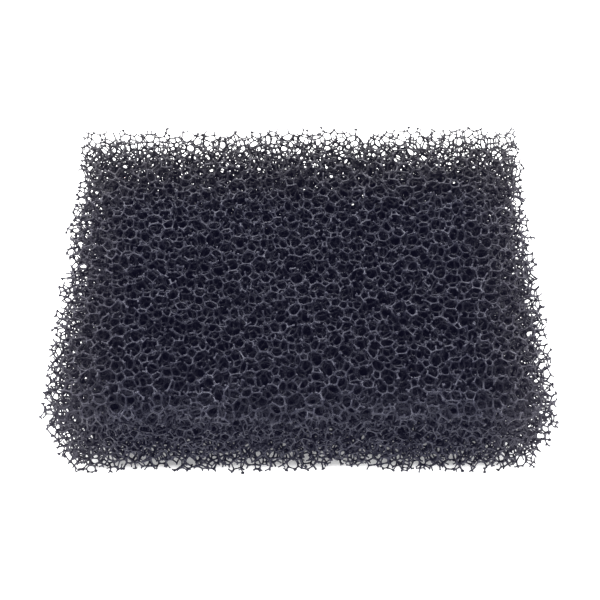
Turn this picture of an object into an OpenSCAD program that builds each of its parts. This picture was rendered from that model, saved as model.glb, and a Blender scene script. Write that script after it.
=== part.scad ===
// Foam air filter element for a small engine: one knife-cut block of coarse
// open-cell (reticulated) polyurethane foam. It lies loose in the tray of the
// filter housing and the housing cover holds it there by its faces.
//
// Frame: origin at the centre of the bottom face, +X along the length,
// +Y along the width, +Z up through the thickness, which is the way the air flows.
// The pores and struts are finer than this solid: it is the block's cut envelope.

/* [Block] */
// Length of the cut block, along X
block_length = 102; // [60:1:160]
// Width of the cut block, along Y
block_width = 74; // [40:1:120]
// Thickness of the cut block, along Z
block_thickness = 28; // [12:1:50]

/* [Corners] */
// Radius left on the upright corners, where the outermost struts have torn off
corner_radius = 1.5; // [0.5:0.25:5]

/* [Hidden] */
// Segments of each round corner
corner_fn = 48;
// Where the centres of the upright corners lie
corner_x = block_length / 2 - corner_radius;
corner_y = block_width / 2 - corner_radius;

// Plan outline: a rectangle with its four corners rounded by true arcs.
module block_outline() {
    square([2 * corner_x, block_width], center = true);
    square([block_length, 2 * corner_y], center = true);
    for (sx = [-1, 1], sy = [-1, 1])
        translate([sx * corner_x, sy * corner_y])
            circle(r = corner_radius, $fn = corner_fn);
}

// The whole filter element: a single piece of foam with flat cut faces.
module foam_block() {
    color([0.13, 0.13, 0.17])
        linear_extrude(height = block_thickness)
            block_outline();
}

foam_block();
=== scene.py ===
"""Looks of the foam air filter element: one block of coarse open-cell (reticulated) foam.

The CAD block is only the cut envelope. This script fills it with an amorphous foam: cell centres
are spread evenly at random, their Voronoi cells are worked out, and every edge where three cells
meet becomes a strut with three ridges that flares into its nodes, as real foam struts do. The
struts are thin near the surface and thick deep inside. They stay thin further in from the ends and
the back, where light shines through. Struts that cross the envelope are cut there. The one block is
stored as tiles, which keep each mesh at a size that the library's tools can take.
"""
import itertools
import math

import bpy
import numpy as np
from mathutils import Matrix, Vector


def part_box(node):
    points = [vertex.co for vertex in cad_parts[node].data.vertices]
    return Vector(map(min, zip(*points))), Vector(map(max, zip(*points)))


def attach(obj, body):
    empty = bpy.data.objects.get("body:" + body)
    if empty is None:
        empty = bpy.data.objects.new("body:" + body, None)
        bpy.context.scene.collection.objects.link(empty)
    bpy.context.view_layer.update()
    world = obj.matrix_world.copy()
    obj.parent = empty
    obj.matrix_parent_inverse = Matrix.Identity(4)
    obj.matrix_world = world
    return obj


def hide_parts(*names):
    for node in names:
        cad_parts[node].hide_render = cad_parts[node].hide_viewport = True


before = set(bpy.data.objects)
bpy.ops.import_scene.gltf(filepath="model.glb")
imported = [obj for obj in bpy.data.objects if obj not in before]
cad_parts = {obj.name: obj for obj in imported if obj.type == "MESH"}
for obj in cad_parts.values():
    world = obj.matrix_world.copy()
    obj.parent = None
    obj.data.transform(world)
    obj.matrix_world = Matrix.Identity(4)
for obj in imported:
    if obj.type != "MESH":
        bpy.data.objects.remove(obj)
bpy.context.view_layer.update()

LOW, HIGH = (np.array(corner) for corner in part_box("foam_block"))
MM = 0.001
TINY = 1e-9                   # keeps divisions and comparisons safe
RNG = np.random.default_rng(seed=7)

# Foam
CELL = 2.8 * MM               # cube root of the mean cell volume
CELL_MIX = 0.27               # spread of the cell sizes, as a share of the size
SPREAD_ROUNDS = 7             # rounds of pushing the cell centres apart
SPREAD_REACH = 2              # how many lattice cubes away they push each other
SPREAD_GAP = 1.13             # the gap that they are pushed to, in CELL
SPREAD_STEP = 0.34            # how much of the missing gap each of the two gives way in a round
PAIR_REACH = 3                # how many lattice cubes apart two neighbouring cells can be
LARGEST_SPHERE = 1.08         # largest empty sphere between cell centres, in CELL
EVENING_ROUNDS = 3            # rounds of evening out the angles at the nodes
EVENING_STEP = 0.4            # how much of the way to its neighbours' middle a node moves in a round
MARGIN = 1.6 * CELL           # foam grown beyond the block, so that the cut goes through it

# Struts: how far the ridges and the hollows between them stand off the strut's axis
RIDGE_WAIST = 0.155 * MM
HOLLOW_WAIST = 0.085 * MM
RIDGE_FLARE = 0.30 * MM       # what the ridges gain from the waist to the nodes
HOLLOW_FLARE = 0.06 * MM
FLARE_POWER = 1.9             # how sharply a strut flares towards its nodes
RIDGE_NODE = 0.27 * MM        # how far the ridges and the hollows stand off the middle of a node
HOLLOW_NODE = 0.12 * MM
RIDGE_ROOM = 0.5              # the most that a ridge takes of the way to its window's middle
RIDGE_REACH = 0.75            # and of the node's shortest strut
HOLLOW_REACH = 0.4            # the most that a hollow takes of the shortest strut

# How thick the struts are, as shares of the sizes above
THICKNESS_MIX = 0.10          # spread of the strut thickness
DEEP_GAIN = 0.75              # how much thicker the struts are deep inside, where the foam is dense
DEEP = 7.5 * MM
LOOSE = 2.5 * MM              # how far in from the ends and the back the foam stays loose
LOOSE_FADE = 10 * MM          # and how much further it takes to get dense
TOP_GAIN = 0.15               # how much thicker the struts are at the top face
TOP_FADE = 4 * MM             # and how far down that reaches
SIDE_LOSS = 0.04              # how much thinner they are at the ends and the back, which fray
SIDE_FADE = 7 * MM            # and how far in that reaches

# Cut
EDGE_RADIUS = 0.5 * MM        # wear along the block's edges
CUT_PROUD = 0.5 * MM          # how far the strut ends stand proud of the top and the back
RIGHT_TAPER = 0.3 * MM        # how much the right end slants in towards the back
CUT_WAVE = 0.35 * MM          # slow waviness of the cut faces
WAVES = 6                     # how many waves that is the sum of
WAVE_LENGTHS = (14.4 * MM, 43.2 * MM)   # the shortest and the longest that they can be
WAVES_APART = 5               # how far apart opposite sides take their waves, in the block's heights
END_SEED, SIDE_SEED, TOP_SEED = 11, 12, 13
NODE_TEAR = 0.30 * MM         # how unevenly nodes stay or tear away at the cut
STUB_TEAR = 0.12              # the same for the cut ends, as a share of the strut
SHORTEST_STUB = 0.30          # the least and the most that is left of a cut strut
LONGEST_STUB = 0.75

# Foam material
DARK_TINT = (0.013, 0.013, 0.023, 1)
LIGHT_TINT = (0.023, 0.023, 0.037, 1)
# Painted light: the ends and the back are painted paler and less blue than the rest, for the haze of
# light that shows through the thin foam there.
END_PAINTED_HAZE = (0.035, 0.032, 0.041, 1)     # painted light: paler and less blue at the ends
BACK_PAINTED_HAZE = (0.038, 0.035, 0.037, 1)    # and along the back, for the light that shows through the thin foam
END_HAZE_SPAN = (-16 * MM, -3 * MM)          # where that sets in, measured from the ends
BACK_HAZE_SPAN = (-22 * MM, -5 * MM)         # and from the back, negative inside the block
MOTTLE_SCALE = 150            # soft patches, about 7 mm wide
MOTTLE_SPAN = (0.3, 0.7)      # the noise values from the darkest to the lightest of them
ROUGHNESS = (0.62, 0.38)      # of the darkest and of the lightest
GRAIN_SCALE = 5000            # the struts' skin, about 0.2 mm fine
GRAIN_HEIGHT = 0.02 * MM
GRAIN_STRENGTH = 0.06

# Light
ROOM_LIGHT = 0.3              # brightness of the room straight above
HORIZON_LIGHT = 1.6           # and at the horizon
LIGHT_FADE = 2.0              # how fast the room darkens from the horizon up
LAMP_SIZE = (1.0, 0.5)        # width and height of each softbox
LAMP_DISTANCE = 0.7           # from the middle of the block's foot
LAMPS = {                     # direction clockwise from +Y and elevation in degrees, brightness
    "back": (0, 34, 10.0),
    "front": (180, 4, 2.2),
    "left": (-90, 8, 5.5),
    "right": (90, 8, 5.5),
}
FLOOR_SIZE = 3.0
FLOOR_DROP = 0.02 * MM        # painted shadow: how little the floor glows under the block
FLOOR_GLOW = 1.05             # brightness of the floor's own light
PAINTED_SHADOW_GLOW = 0.22            # under the block, where the table's light is masked
END_SHADOW_FADE = (-10 * MM, -1.0 * MM)     # the painted shadow fades out between these distances from the ends
SIDE_SHADOW_FADE = (-2.0 * MM, -0.6 * MM)   # and between these from the front and the back

# Camera
CAMERA_DISTANCE = 0.2188      # from the point that it looks at
CAMERA_ELEVATION = 58.7       # degrees above the floor
CAMERA_AZIMUTH = -1.92        # degrees clockwise from +Y, the way that it looks
CAMERA_ROLL = -2.06           # degrees anticlockwise
CAMERA_AIM = (-0.1, -1.1, 0)  # mm from the block's middle
CAMERA_LENS = 57.78
LENS_GLARE = (0.0035, 0.0034, 0.0102)   # what the white surroundings add to the blacks

# Meshes
TILES = (7, 4)                # tiles along X and Y
DETAILED_DEPTH = 5 * MM       # struts nearer to the surface than this get more rings
DETAILED_RINGS = (0.3, 0.5, 0.7)        # where they are, as shares of the way along the strut
PLAIN_RINGS = (0.5,)
STUB_RINGS = (0.55, 1.0)      # the same for a strut that ends on the way, up to where it ends
CELLS_IN_CHUNK = 1500         # cells looked at in one go, which bounds the memory used
NODE_CELLS = 4                # cells that meet at a node, and as many struts
NODE_PAIRS = list(itertools.combinations(range(NODE_CELLS), 2))
NODE_CORNERS = NODE_CELLS + len(NODE_PAIRS)     # a hollow for each cell, a ridge for each pair


# ---- Foam network ----

def unit(vectors):
    """The same vectors with a length of one."""
    return vectors / np.maximum(np.linalg.norm(vectors, axis=-1, keepdims=True), TINY)


def shifted(count, step):
    """Index ranges that line up each lattice cube with the one a step away."""
    here = tuple(slice(max(0, -d), min(n, n - d)) for d, n in zip(step, count))
    there = tuple(slice(max(0, d), min(n, n + d)) for d, n in zip(step, count))
    return here, there


def half_steps(reach):
    """Every lattice step up to reach cubes away, one of each opposite pair."""
    span = range(-reach, reach + 1)
    return [(i, j, k) for i in span for j in span for k in span if (i, j, k) > (0, 0, 0)]


def spread_centres():
    """Cell centres, in units of CELL: one in each lattice cube, then pushed apart."""
    count = np.ceil((HIGH - LOW + 2 * MARGIN) / CELL).astype(int)
    grid = np.stack(np.meshgrid(*[np.arange(n) for n in count], indexing="ij"), -1)
    centres = grid + RNG.random(grid.shape)
    size = 1 + CELL_MIX * RNG.standard_normal(grid.shape[:3])
    for _ in range(SPREAD_ROUNDS):
        push = np.zeros_like(centres)
        for step in half_steps(SPREAD_REACH):
            here, there = shifted(count, step)
            gap = centres[there] - centres[here]
            distance = np.maximum(np.linalg.norm(gap, axis=-1), TINY)
            wanted = SPREAD_GAP * (size[here] + size[there]) / 2
            share = SPREAD_STEP * np.clip(wanted - distance, 0, None) / distance
            push[here] -= share[..., None] * gap
            push[there] += share[..., None] * gap
        centres += push
    return centres, count


def near_pairs(centres, count, reach):
    """Every pair of cells whose centres are nearer than reach, in units of CELL."""
    flat = centres.reshape(-1, 3)
    index = np.arange(len(flat)).reshape(count)
    found = []
    for step in half_steps(PAIR_REACH):
        here, there = shifted(count, step)
        a, b = index[here].ravel(), index[there].ravel()
        near = ((flat[a] - flat[b]) ** 2).sum(1) < reach ** 2
        found.append(np.stack([a[near], b[near]], 1))
    return np.sort(np.concatenate(found), axis=1)


def table_of(pairs, rows):
    """One row per cell with the second members of its pairs, padded with -1."""
    pairs = pairs[np.lexsort((pairs[:, 1], pairs[:, 0]))]
    start = np.searchsorted(pairs[:, 0], np.arange(rows + 1))
    table = np.full((rows, np.diff(start).max()), -1)
    table[pairs[:, 0], np.arange(len(pairs)) - start[pairs[:, 0]]] = pairs[:, 1]
    return table


def fours_of_cells(pairs, rows):
    """Every four cells that are all near each other."""
    joined = np.zeros((rows, rows), bool)
    joined[pairs[:, 0], pairs[:, 1]] = True
    later = table_of(pairs, rows)
    first, second = np.triu_indices(later.shape[1], 1)
    fours = []
    for start in range(0, rows, CELLS_IN_CHUNK):
        part = later[start:start + CELLS_IN_CHUNK]
        j, k = part[:, first], part[:, second]
        row, column = np.nonzero((k >= 0) & joined[j, k])
        j, k = j[row, column], k[row, column]
        rest = part[row]
        fits = (rest > k[:, None]) & joined[j[:, None], rest] & joined[k[:, None], rest]
        member, place = np.nonzero(fits)
        four = [start + row[member], j[member], k[member], rest[member, place]]
        fours.append(np.stack(four, 1))
    return np.concatenate(fours)


def sphere_through(centres, fours):
    """Centre and squared radius of the sphere through each four cell centres."""
    origin = centres[fours[:, 0]]
    side = centres[fours[:, 1:]] - origin[:, None]
    half = 0.5 * (side ** 2).sum(2)
    normal = [np.cross(side[:, (k + 1) % 3], side[:, (k + 2) % 3]) for k in range(3)]
    volume = (side[:, 0] * normal[0]).sum(1)
    flat = np.abs(volume) < TINY
    offset = sum(half[:, k, None] * normal[k] for k in range(3))
    offset /= np.where(flat, 1, volume)[:, None]
    squared = np.where(flat, np.inf, (offset ** 2).sum(1))
    return origin + offset, squared


def nodes_of_foam(centres, count):
    """The foam's nodes: centres of the empty spheres through four cell centres, and their cells."""
    flat = centres.reshape(-1, 3)
    pairs = near_pairs(centres, count, 2 * LARGEST_SPHERE)
    fours = fours_of_cells(pairs, len(flat))
    nodes, squared = sphere_through(flat, fours)
    small = squared < LARGEST_SPHERE ** 2
    fours, nodes, squared = fours[small], nodes[small], squared[small]
    around = table_of(np.concatenate([pairs, pairs[:, ::-1]]), len(flat))
    alive = np.arange(len(fours))
    for column in range(around.shape[1]):
        other = around[fours[alive, 0], column]
        own = (other[:, None] == fours[alive]).any(1) | (other < 0)
        outside = ((flat[other] - nodes[alive]) ** 2).sum(1) > squared[alive] * (1 - TINY)
        alive = alive[own | outside]
    return nodes[alive], fours[alive]


def struts_of_foam(node_cells):
    """Struts join the two nodes that share three cells. Returns their nodes and their cells."""
    triples = np.concatenate([np.delete(node_cells, k, axis=1) for k in range(NODE_CELLS)])
    nodes = np.tile(np.arange(len(node_cells)), NODE_CELLS)
    order = np.lexsort(triples.T[::-1])
    triples, nodes = triples[order], nodes[order]
    same = (triples[1:] == triples[:-1]).all(1)
    return np.stack([nodes[:-1][same], nodes[1:][same]], 1), triples[1:][same]


def mean_of(points, owner, owners):
    """Mean of the points that each owner has."""
    total = np.stack([np.bincount(owner, points[:, k], owners) for k in range(3)], 1)
    return total / np.maximum(np.bincount(owner, minlength=owners), 1)[:, None]


def complete(struts, count):
    """Which of the nodes have all of their struts."""
    return np.bincount(struts.ravel(), minlength=count) == NODE_CELLS


def evened(nodes, struts):
    """Nodes moved towards the middle of their neighbours, which evens the angles between struts."""
    ends = np.concatenate([struts[:, 0], struts[:, 1]])
    others = np.concatenate([struts[:, 1], struts[:, 0]])
    full = complete(struts, len(nodes))[:, None]
    for _ in range(EVENING_ROUNDS):
        middle = mean_of(nodes[others], ends, len(nodes))
        nodes = np.where(full, nodes + EVENING_STEP * (middle - nodes), nodes)
    return nodes


class Foam:
    """The whole network in metres: nodes, struts, and the middles of the cells and windows."""

    def __init__(self):
        centres, count = spread_centres()
        nodes, self.node_cells = nodes_of_foam(centres, count)
        self.struts, self.strut_cells = struts_of_foam(self.node_cells)
        nodes = evened(nodes, self.struts)
        self.nodes = (nodes - count / 2) * CELL + (LOW + HIGH) / 2
        corners = np.repeat(self.nodes, NODE_CELLS, axis=0)
        self.cells = mean_of(corners, self.node_cells.ravel(), count.prod())
        self.find_windows()

    def find_windows(self):
        """Middle of each window, where two cells meet, and which windows each node has."""
        self.stride = len(self.cells)
        cells = self.node_cells.T
        keys = np.concatenate([self.key(cells[k], cells[m]) for k, m in NODE_PAIRS])
        self.window_keys, owner = np.unique(keys, return_inverse=True)
        corners = np.tile(self.nodes, (len(NODE_PAIRS), 1))
        self.windows = mean_of(corners, owner, len(self.window_keys))
        self.node_windows = owner.reshape(len(NODE_PAIRS), -1).T

    def key(self, a, b):
        """One number for the window between cells a and b."""
        return np.minimum(a, b) * self.stride + np.maximum(a, b)

    def window(self, a, b):
        """Middle of the window between cells a and b."""
        return self.windows[np.searchsorted(self.window_keys, self.key(a, b))]


# ---- Cutting the block out of the foam ----

def slow_wave(u, v, seed):
    """A smooth wavy field over two coordinates, from about -1 to 1."""
    rng = np.random.default_rng(seed)
    field = np.zeros_like(u)
    for _ in range(WAVES):
        angle, phase = rng.uniform(0, 2 * math.pi, 2)
        turns = 2 * math.pi / rng.uniform(*WAVE_LENGTHS)
        field += np.sin(turns * (u * math.cos(angle) + v * math.sin(angle)) + phase)
    return field / (WAVES / 2)


def depth_outside(points):
    """How far each point is outside the cut block, negative inside it."""
    x, y, z = points.T
    middle, half = (LOW + HIGH) / 2, (HIGH - LOW) / 2
    apart = WAVES_APART * half[2]
    wave_x = CUT_WAVE * slow_wave(y, z + np.sign(x) * apart, END_SEED)
    wave_y = CUT_WAVE * slow_wave(x, z + np.sign(y) * apart, SIDE_SEED)
    wave_z = CUT_WAVE * slow_wave(x, y, TOP_SEED)
    taper = np.where(x > middle[0], RIGHT_TAPER * (y - LOW[1]) / (HIGH - LOW)[1], 0)
    proud_y = np.where(y > middle[1], CUT_PROUD, 0)
    side_x = np.abs(x - middle[0]) - half[0] + taper - wave_x
    side_y = np.abs(y - middle[1]) - half[1] - proud_y - wave_y
    side_z = np.maximum(z - HIGH[2] - CUT_PROUD - wave_z, LOW[2] - z)
    out = np.stack([side_x, side_y, side_z], 1) + EDGE_RADIUS
    rounded = np.linalg.norm(np.maximum(out, 0), axis=1)
    return rounded + np.minimum(out.max(1), 0) - EDGE_RADIUS


def from_loose_side(points):
    """How far inside the ends and the back each point is."""
    from_end = (HIGH - LOW)[0] / 2 - np.abs(points[:, 0] - (LOW + HIGH)[0] / 2)
    return np.minimum(from_end, HIGH[1] - points[:, 1])


def density(points, outside):
    """How dense the foam is at each point, from 0 at the surface to 1 deep inside."""
    within = (from_loose_side(points) - LOOSE) / LOOSE_FADE
    return np.clip(np.minimum(-outside / DEEP, within), 0, 1)


def frayed(points):
    """How much thicker the struts are towards the top, and thinner towards the ends and the back."""
    top = np.clip(1 - (HIGH[2] - points[:, 2]) / TOP_FADE, 0, 1)
    side = np.clip(1 - from_loose_side(points) / SIDE_FADE, 0, 1)
    return TOP_GAIN * top * (1 - side) - SIDE_LOSS * side


def largest_network(kept, struts):
    """The kept nodes that hang together with the bulk, without loose bits."""
    ends = struts[kept[struts].all(1)]
    label = np.arange(len(kept))
    while True:
        lowest = np.minimum(label[ends[:, 0]], label[ends[:, 1]])
        new = label.copy()
        np.minimum.at(new, ends[:, 0], lowest)
        np.minimum.at(new, ends[:, 1], lowest)
        new = new[new]
        if (new == label).all():
            break
        label = new
    bulk = np.bincount(label[kept]).argmax()
    return kept & (label == bulk)


# ---- Meshes ----

class Tile:
    """Points and faces of one tile's mesh while it is put together."""

    def __init__(self):
        self.points = []
        self.count = 0
        self.quads = []
        self.flat = []

    def add_points(self, points):
        """Adds points in rows, none below the block's foot, and returns their indices in rows."""
        rows = self.count + np.arange(points.shape[0] * points.shape[1]).reshape(points.shape[:2])
        lifted = points.reshape(-1, 3).copy()
        lifted[:, 2] = np.maximum(lifted[:, 2], LOW[2])
        self.points.append(lifted)
        self.count += rows.size
        return rows

    def add_quads(self, quads, flat):
        """Adds faces with four corners, all flat or all smooth."""
        quads = quads.reshape(-1, 4)
        self.quads.append(quads)
        self.flat.append(np.full(len(quads), flat))

    def skin(self, ring_a, ring_b):
        """Smooth faces from each ring to the next one along its strut."""
        quads = np.stack([ring_a, np.roll(ring_a, -1, 1), np.roll(ring_b, -1, 1), ring_b], 2)
        self.add_quads(quads, False)

    def cap(self, ring):
        """A flat end on each ring of six points, made of two faces."""
        quads = np.stack([ring[:, [0, 1, 2, 3]], ring[:, [3, 4, 5, 0]]], 1)
        self.add_quads(quads, True)

    def mesh(self, name):
        """The finished Blender mesh."""
        points = np.concatenate(self.points)
        quads = np.concatenate(self.quads)
        mesh = bpy.data.meshes.new(name)
        mesh.vertices.add(len(points))
        mesh.vertices.foreach_set("co", points.astype(np.float32).ravel())
        mesh.loops.add(quads.size)
        mesh.loops.foreach_set("vertex_index", quads.astype(np.int32).ravel())
        mesh.polygons.add(len(quads))
        mesh.polygons.foreach_set("loop_start", np.arange(0, quads.size, 4, dtype=np.int32))
        mesh.polygons.foreach_set("use_smooth", ~np.concatenate(self.flat))
        mesh.update(calc_edges=True)
        return mesh


class StrutMesher:
    """Turns the kept part of the network into tile meshes."""

    def __init__(self, foam, kept, outside):
        self.foam = foam
        self.kept = kept
        self.outside = outside
        self.node_thickness = 1 + DEEP_GAIN * density(foam.nodes, outside) + frayed(foam.nodes)
        mix = THICKNESS_MIX * RNG.uniform(-1, 1, len(foam.struts))
        self.strut_thickness = self.node_thickness[foam.struts].mean(1) + mix
        self.tear = RNG.normal(0, STUB_TEAR, len(foam.struts))
        self.corners = self.node_corners()
        self.tile = self.tile_of_nodes()

    def tile_of_nodes(self):
        """The number of the tile that each node lies in."""
        share = (self.foam.nodes[:, :2] - LOW[:2]) / (HIGH - LOW)[:2]
        place = np.clip((share * TILES).astype(int), 0, np.array(TILES) - 1)
        return place[:, 0] * TILES[1] + place[:, 1]

    def node_corners(self):
        """Ten points round each node: a hollow towards each cell, a ridge towards each window."""
        foam = self.foam
        at = foam.nodes[:, None]
        towards_cell = foam.cells[foam.node_cells] - at
        towards_window = foam.windows[foam.node_windows] - at
        shortest = self.shortest_strut()[:, None]
        to_window = np.linalg.norm(towards_window, axis=2)
        room = np.minimum(RIDGE_ROOM * to_window, RIDGE_REACH * shortest)
        thickness = self.node_thickness[:, None]
        ridge = np.minimum(RIDGE_NODE * thickness, room)[..., None]
        hollow = np.minimum(HOLLOW_NODE * thickness, HOLLOW_REACH * shortest)[..., None]
        hollows = at + hollow * unit(towards_cell)
        ridges = at + ridge * unit(towards_window)
        return np.concatenate([hollows, ridges], 1)

    def shortest_strut(self):
        """Length of the shortest strut at each node."""
        foam = self.foam
        start, end = foam.struts.T
        length = np.linalg.norm(foam.nodes[start] - foam.nodes[end], axis=1)
        shortest = np.full(len(foam.nodes), CELL)
        np.minimum.at(shortest, start, length)
        np.minimum.at(shortest, end, length)
        return shortest

    def turned(self, start, end, cells):
        """The three cells of each strut, in the order that winds its faces outwards."""
        foam = self.foam
        a, b, c = (foam.cells[cells[:, k]] for k in range(3))
        along = foam.nodes[end] - foam.nodes[start]
        wrong = (np.cross(b - a, c - a) * along).sum(1) < 0
        return np.where(wrong[:, None], cells[:, [0, 2, 1]], cells)

    def node_ring(self, node, cells, slot):
        """Indices of the six node corners that the strut between these cells grows from."""
        own = self.foam.node_cells[node]
        local = [(own == cells[:, [k]]).argmax(1) for k in range(3)]
        pair_slot = np.zeros((NODE_CELLS, NODE_CELLS), int)
        for number, (k, m) in enumerate(NODE_PAIRS):
            pair_slot[k, m] = NODE_CELLS + number
            pair_slot[m, k] = NODE_CELLS + number
        ring = []
        for k in range(3):
            ring += [local[k], pair_slot[local[k], local[(k + 1) % 3]]]
        return slot[node][:, None] * NODE_CORNERS + np.stack(ring, 1)

    def strut_ring(self, strut, start, end, cells, share):
        """Six points round each strut at a share of the way from its start to its end."""
        foam = self.foam
        along = foam.nodes[end] - foam.nodes[start]
        axis = unit(along)
        at = foam.nodes[start] + share[:, None] * along
        flare = np.abs(1 - 2 * share) ** FLARE_POWER
        ridge = RIDGE_WAIST + RIDGE_FLARE * flare
        hollow = HOLLOW_WAIST + HOLLOW_FLARE * flare
        ring = []
        for k in range(3):
            a, b = cells[:, k], cells[:, (k + 1) % 3]
            for target, offset in ((foam.cells[a], hollow), (foam.window(a, b), ridge)):
                across = target - at
                across -= (across * axis).sum(1, keepdims=True) * axis
                ring.append(at + (offset * self.strut_thickness[strut])[:, None] * unit(across))
        return np.stack(ring, 1)

    def add_whole(self, tile, strut, slot, shares):
        """Struts whose two nodes are both in the tile."""
        start, end = self.foam.struts[strut].T
        cells = self.turned(start, end, self.foam.strut_cells[strut])
        ring = self.node_ring(start, cells, slot)
        for share in shares:
            points = self.strut_ring(strut, start, end, cells, np.full(len(strut), share))
            following = tile.add_points(points)
            tile.skin(ring, following)
            ring = following
        tile.skin(ring, self.node_ring(end, cells, slot))

    def add_ended(self, tile, strut, start, end, slot, last):
        """Struts that leave a node of the tile and end on the way, at the share called last."""
        cells = self.turned(start, end, self.foam.strut_cells[strut])
        ring = self.node_ring(start, cells, slot)
        for part in STUB_RINGS:
            points = self.strut_ring(strut, start, end, cells, part * last)
            following = tile.add_points(points)
            tile.skin(ring, following)
            ring = following
        tile.cap(ring)

    def cut_share(self, strut, start, end):
        """Where along each strut the cut goes through it."""
        inner, outer = self.outside[start], self.outside[end]
        share = inner / np.minimum(inner - outer, -TINY) + self.tear[strut]
        return np.clip(share, SHORTEST_STUB, LONGEST_STUB)

    def build(self, number):
        """The mesh of one tile."""
        foam, kept = self.foam, self.kept
        mine = kept & (self.tile == number)
        slot = np.cumsum(mine) - 1
        tile = Tile()
        tile.add_points(self.corners[mine])
        both = mine[foam.struts].all(1)
        shallow = self.outside[foam.struts].max(1) > -DETAILED_DEPTH
        self.add_whole(tile, np.nonzero(both & shallow)[0], slot, DETAILED_RINGS)
        self.add_whole(tile, np.nonzero(both & ~shallow)[0], slot, PLAIN_RINGS)
        for first, second in ((0, 1), (1, 0)):
            start, end = foam.struts[:, first], foam.struts[:, second]
            crossing = np.nonzero(mine[start] & kept[end] & ~mine[end])[0]
            half = np.full(len(crossing), 0.5)
            self.add_ended(tile, crossing, start[crossing], end[crossing], slot, half)
            cut = np.nonzero(mine[start] & ~kept[end])[0]
            last = self.cut_share(cut, start[cut], end[cut])
            self.add_ended(tile, cut, start[cut], end[cut], slot, last)
        return tile.mesh(f"foam_block_tile_{number + 1:02d}")


# ---- Materials ----

def mapped(tree, value, before=(0, 1), after=(0, 1)):
    """Nodes that turn one span of values into another, and stop at its ends."""
    node = tree.nodes.new("ShaderNodeMapRange")
    node.inputs["From Min"].default_value = before[0]
    node.inputs["From Max"].default_value = before[1]
    node.inputs["To Min"].default_value = after[0]
    node.inputs["To Max"].default_value = after[1]
    tree.links.new(value, node.inputs["Value"])
    return node.outputs["Result"]


def noise(tree, place, scale, detail):
    """Nodes for smooth noise that is fixed to the block."""
    node = tree.nodes.new("ShaderNodeTexNoise")
    node.inputs["Scale"].default_value = scale
    node.inputs["Detail"].default_value = detail
    tree.links.new(place, node.inputs["Vector"])
    return node.outputs["Fac"]


def coordinates(tree, place):
    """Nodes for the X, Y and Z of a place."""
    node = tree.nodes.new("ShaderNodeSeparateXYZ")
    tree.links.new(place, node.inputs["Vector"])
    return node.outputs


def distance_past(tree, coordinate, half):
    """Nodes for how far a coordinate is past the block's sides, negative between them."""
    size = tree.nodes.new("ShaderNodeMath")
    size.operation = "ABSOLUTE"
    tree.links.new(coordinate, size.inputs[0])
    past = tree.nodes.new("ShaderNodeMath")
    past.operation = "SUBTRACT"
    tree.links.new(size.outputs["Value"], past.inputs[0])
    past.inputs[1].default_value = half
    return past.outputs["Value"]


def faded(tree, colour, distance, span, tint):
    """Nodes that turn a colour into a tint over a span of a distance."""
    mix = tree.nodes.new("ShaderNodeMix")
    mix.data_type = "RGBA"
    tree.links.new(mapped(tree, distance, span), mix.inputs["Factor"])
    tree.links.new(colour, mix.inputs["A"])
    mix.inputs["B"].default_value = tint
    return mix.outputs["Result"]


def foam_tint_and_painted_haze(tree, place, mottle):
    """Nodes for the foam's colour: mottled charcoal, with painted light that makes it paler and less
    blue towards the ends and the back.
    """
    ramp = tree.nodes.new("ShaderNodeValToRGB")
    for stop, position, tint in zip(ramp.color_ramp.elements, MOTTLE_SPAN, (DARK_TINT, LIGHT_TINT)):
        stop.position = position
        stop.color = tint
    tree.links.new(mottle, ramp.inputs["Fac"])
    x, y, _ = coordinates(tree, place)
    # Painted light: paler and less blue towards the ends and the back.
    past_end = distance_past(tree, x, (HIGH - LOW)[0] / 2)
    colour = faded(tree, ramp.outputs["Color"], past_end, END_HAZE_SPAN, END_PAINTED_HAZE)
    back = [HIGH[1] + depth for depth in BACK_HAZE_SPAN]
    return faded(tree, colour, y, back, BACK_PAINTED_HAZE)


def foam_material():
    """Charcoal polyurethane: satin, faintly blue, with slow mottling and a fine skin."""
    material = bpy.data.materials.new("charcoal_foam")
    material.use_nodes = True
    tree = material.node_tree
    shader = tree.nodes["Principled BSDF"]
    place = tree.nodes.new("ShaderNodeTexCoord").outputs["Object"]
    mottle = noise(tree, place, MOTTLE_SCALE, detail=3)
    tree.links.new(foam_tint_and_painted_haze(tree, place, mottle), shader.inputs["Base Color"])
    tree.links.new(mapped(tree, mottle, MOTTLE_SPAN, ROUGHNESS), shader.inputs["Roughness"])
    bump = tree.nodes.new("ShaderNodeBump")
    bump.inputs["Strength"].default_value = GRAIN_STRENGTH
    bump.inputs["Distance"].default_value = GRAIN_HEIGHT
    tree.links.new(noise(tree, place, GRAIN_SCALE, detail=2), bump.inputs["Height"])
    tree.links.new(bump.outputs["Normal"], shader.inputs["Normal"])
    shader.inputs["Specular IOR Level"].default_value = 0.4
    shader.inputs["Specular Tint"].default_value = (0.85, 0.86, 1.0, 1)
    return material


def floor_material_with_painted_shadow():
    """White acrylic of a light table, with a painted shadow under the block, where its glow is
    turned down.
    """
    material = bpy.data.materials.new("light_table_painted_shadow")
    material.use_nodes = True
    tree = material.node_tree
    shader = tree.nodes["Principled BSDF"]
    shader.inputs["Base Color"].default_value = (0.85, 0.85, 0.85, 1)
    shader.inputs["Roughness"].default_value = 0.9
    shader.inputs["Specular IOR Level"].default_value = 0.0
    shader.inputs["Emission Color"].default_value = (1, 1, 1, 1)
    place = tree.nodes.new("ShaderNodeTexCoord").outputs["Object"]
    axes = coordinates(tree, place)
    # Painted shadow under the block: the floor's glow is turned down there, and it fades back up
    # towards the block's edges.
    lightest = tree.nodes.new("ShaderNodeMath")
    lightest.operation = "MAXIMUM"
    for axis, span in enumerate((END_SHADOW_FADE, SIDE_SHADOW_FADE)):
        past = distance_past(tree, axes[axis], (HIGH - LOW)[axis] / 2)
        tree.links.new(mapped(tree, past, span), lightest.inputs[axis])
    glow = mapped(tree, lightest.outputs["Value"], after=(PAINTED_SHADOW_GLOW, FLOOR_GLOW))
    tree.links.new(glow, shader.inputs["Emission Strength"])
    return material


# ---- Scene ----

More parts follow.
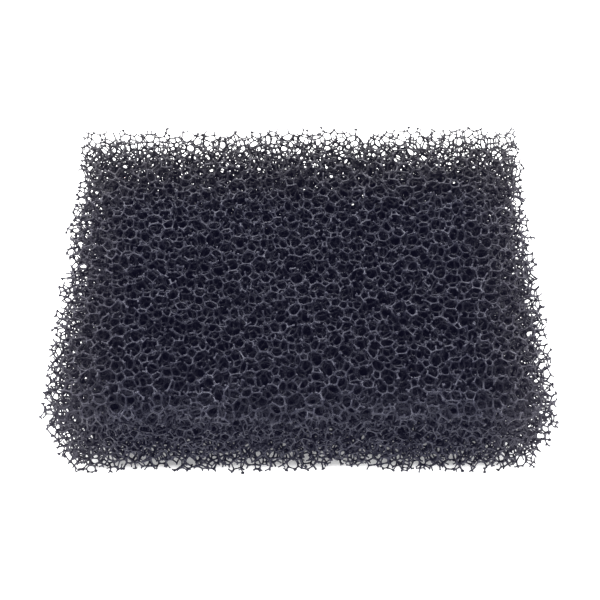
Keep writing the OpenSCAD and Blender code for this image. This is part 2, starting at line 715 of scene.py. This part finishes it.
def add_foam():
    """The foam block, as tiles that all ride on the CAD block's body."""
    foam = Foam()
    outside = depth_outside(foam.nodes)
    torn = outside + RNG.normal(0, NODE_TEAR, len(outside))
    whole = complete(foam.struts, len(foam.nodes))
    kept = largest_network((torn < 0) & whole, foam.struts)
    mesher = StrutMesher(foam, kept, outside)
    material = foam_material()
    for number in range(TILES[0] * TILES[1]):
        mesh = mesher.build(number)
        mesh.materials.append(material)
        tile = bpy.data.objects.new(mesh.name, mesh)
        bpy.context.scene.collection.objects.link(tile)
        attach(tile, "root")
        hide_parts("foam_block")


def add_floor():
    """A wide pale floor at the block's foot."""
    bpy.ops.mesh.primitive_plane_add(size=FLOOR_SIZE, location=(0, 0, LOW[2] - FLOOR_DROP))
    floor = bpy.context.object
    floor.name = "floor"
    floor.data.materials.append(floor_material_with_painted_shadow())


def add_room():
    """White surroundings that are brighter towards the horizon."""
    world = bpy.data.worlds.new("room")
    bpy.context.scene.world = world
    world.use_nodes = True
    tree = world.node_tree
    background = tree.nodes["Background"]
    background.inputs["Color"].default_value = (1, 1, 1, 1)
    direction = tree.nodes.new("ShaderNodeTexCoord").outputs["Generated"]
    height = coordinates(tree, direction)["Z"]
    fade = tree.nodes.new("ShaderNodeMath")
    fade.operation = "POWER"
    tree.links.new(mapped(tree, height, after=(1, 0)), fade.inputs[0])
    fade.inputs[1].default_value = LIGHT_FADE
    strength = mapped(tree, fade.outputs["Value"], after=(ROOM_LIGHT, HORIZON_LIGHT))
    tree.links.new(strength, background.inputs["Strength"])


def add_lamp(name, direction, elevation, brightness):
    """A large softbox that faces the block."""
    width, height = LAMP_SIZE
    lamp = bpy.data.lights.new(name, "AREA")
    lamp.shape = "RECTANGLE"
    lamp.size = width
    lamp.size_y = height
    lamp.energy = brightness * math.pi * width * height
    softbox = bpy.data.objects.new(name, lamp)
    turn, rise = math.radians(direction), math.radians(elevation)
    level = math.cos(rise)
    away = Vector((math.sin(turn) * level, math.cos(turn) * level, math.sin(rise)))
    softbox.location = LAMP_DISTANCE * away
    softbox.rotation_euler = away.to_track_quat("Z", "Y").to_euler()
    bpy.context.scene.collection.objects.link(softbox)


def add_camera():
    """The camera in front of the block and above it, looking steeply down at its middle."""
    elevation = math.radians(CAMERA_ELEVATION)
    azimuth = math.radians(CAMERA_AZIMUTH)
    roll = math.radians(CAMERA_ROLL)
    target = Vector((LOW + HIGH) / 2) + Vector(CAMERA_AIM) * MM
    level = math.cos(elevation)
    forward = Vector((math.sin(azimuth) * level, math.cos(azimuth) * level, -math.sin(elevation)))
    right = Vector((math.cos(azimuth), -math.sin(azimuth), 0))
    up = right.cross(forward)
    across = math.cos(roll) * right + math.sin(roll) * up
    upward = math.cos(roll) * up - math.sin(roll) * right
    turn = Matrix((across, upward, -forward)).transposed().to_4x4()
    data = bpy.data.cameras.new("camera")
    data.sensor_width = 36
    data.lens = CAMERA_LENS
    data.clip_start = 0.01
    data.clip_end = 10
    camera = bpy.data.objects.new("camera", data)
    camera.matrix_world = Matrix.Translation(target - CAMERA_DISTANCE * forward) @ turn
    bpy.context.scene.collection.objects.link(camera)
    bpy.context.scene.camera = camera


def set_film():
    """Plain colours, with blacks that the white surroundings lift a little, as in a real lens."""
    view = bpy.context.scene.view_settings
    view.view_transform = "Standard"
    view.use_curve_mapping = True
    view.curve_mapping.black_level = [-glare for glare in LENS_GLARE]
    view.curve_mapping.update()


set_film()
add_camera()
add_room()
for lamp_name, lamp_setting in LAMPS.items():
    add_lamp(lamp_name + "_softbox", *lamp_setting)
add_floor()
add_foam()
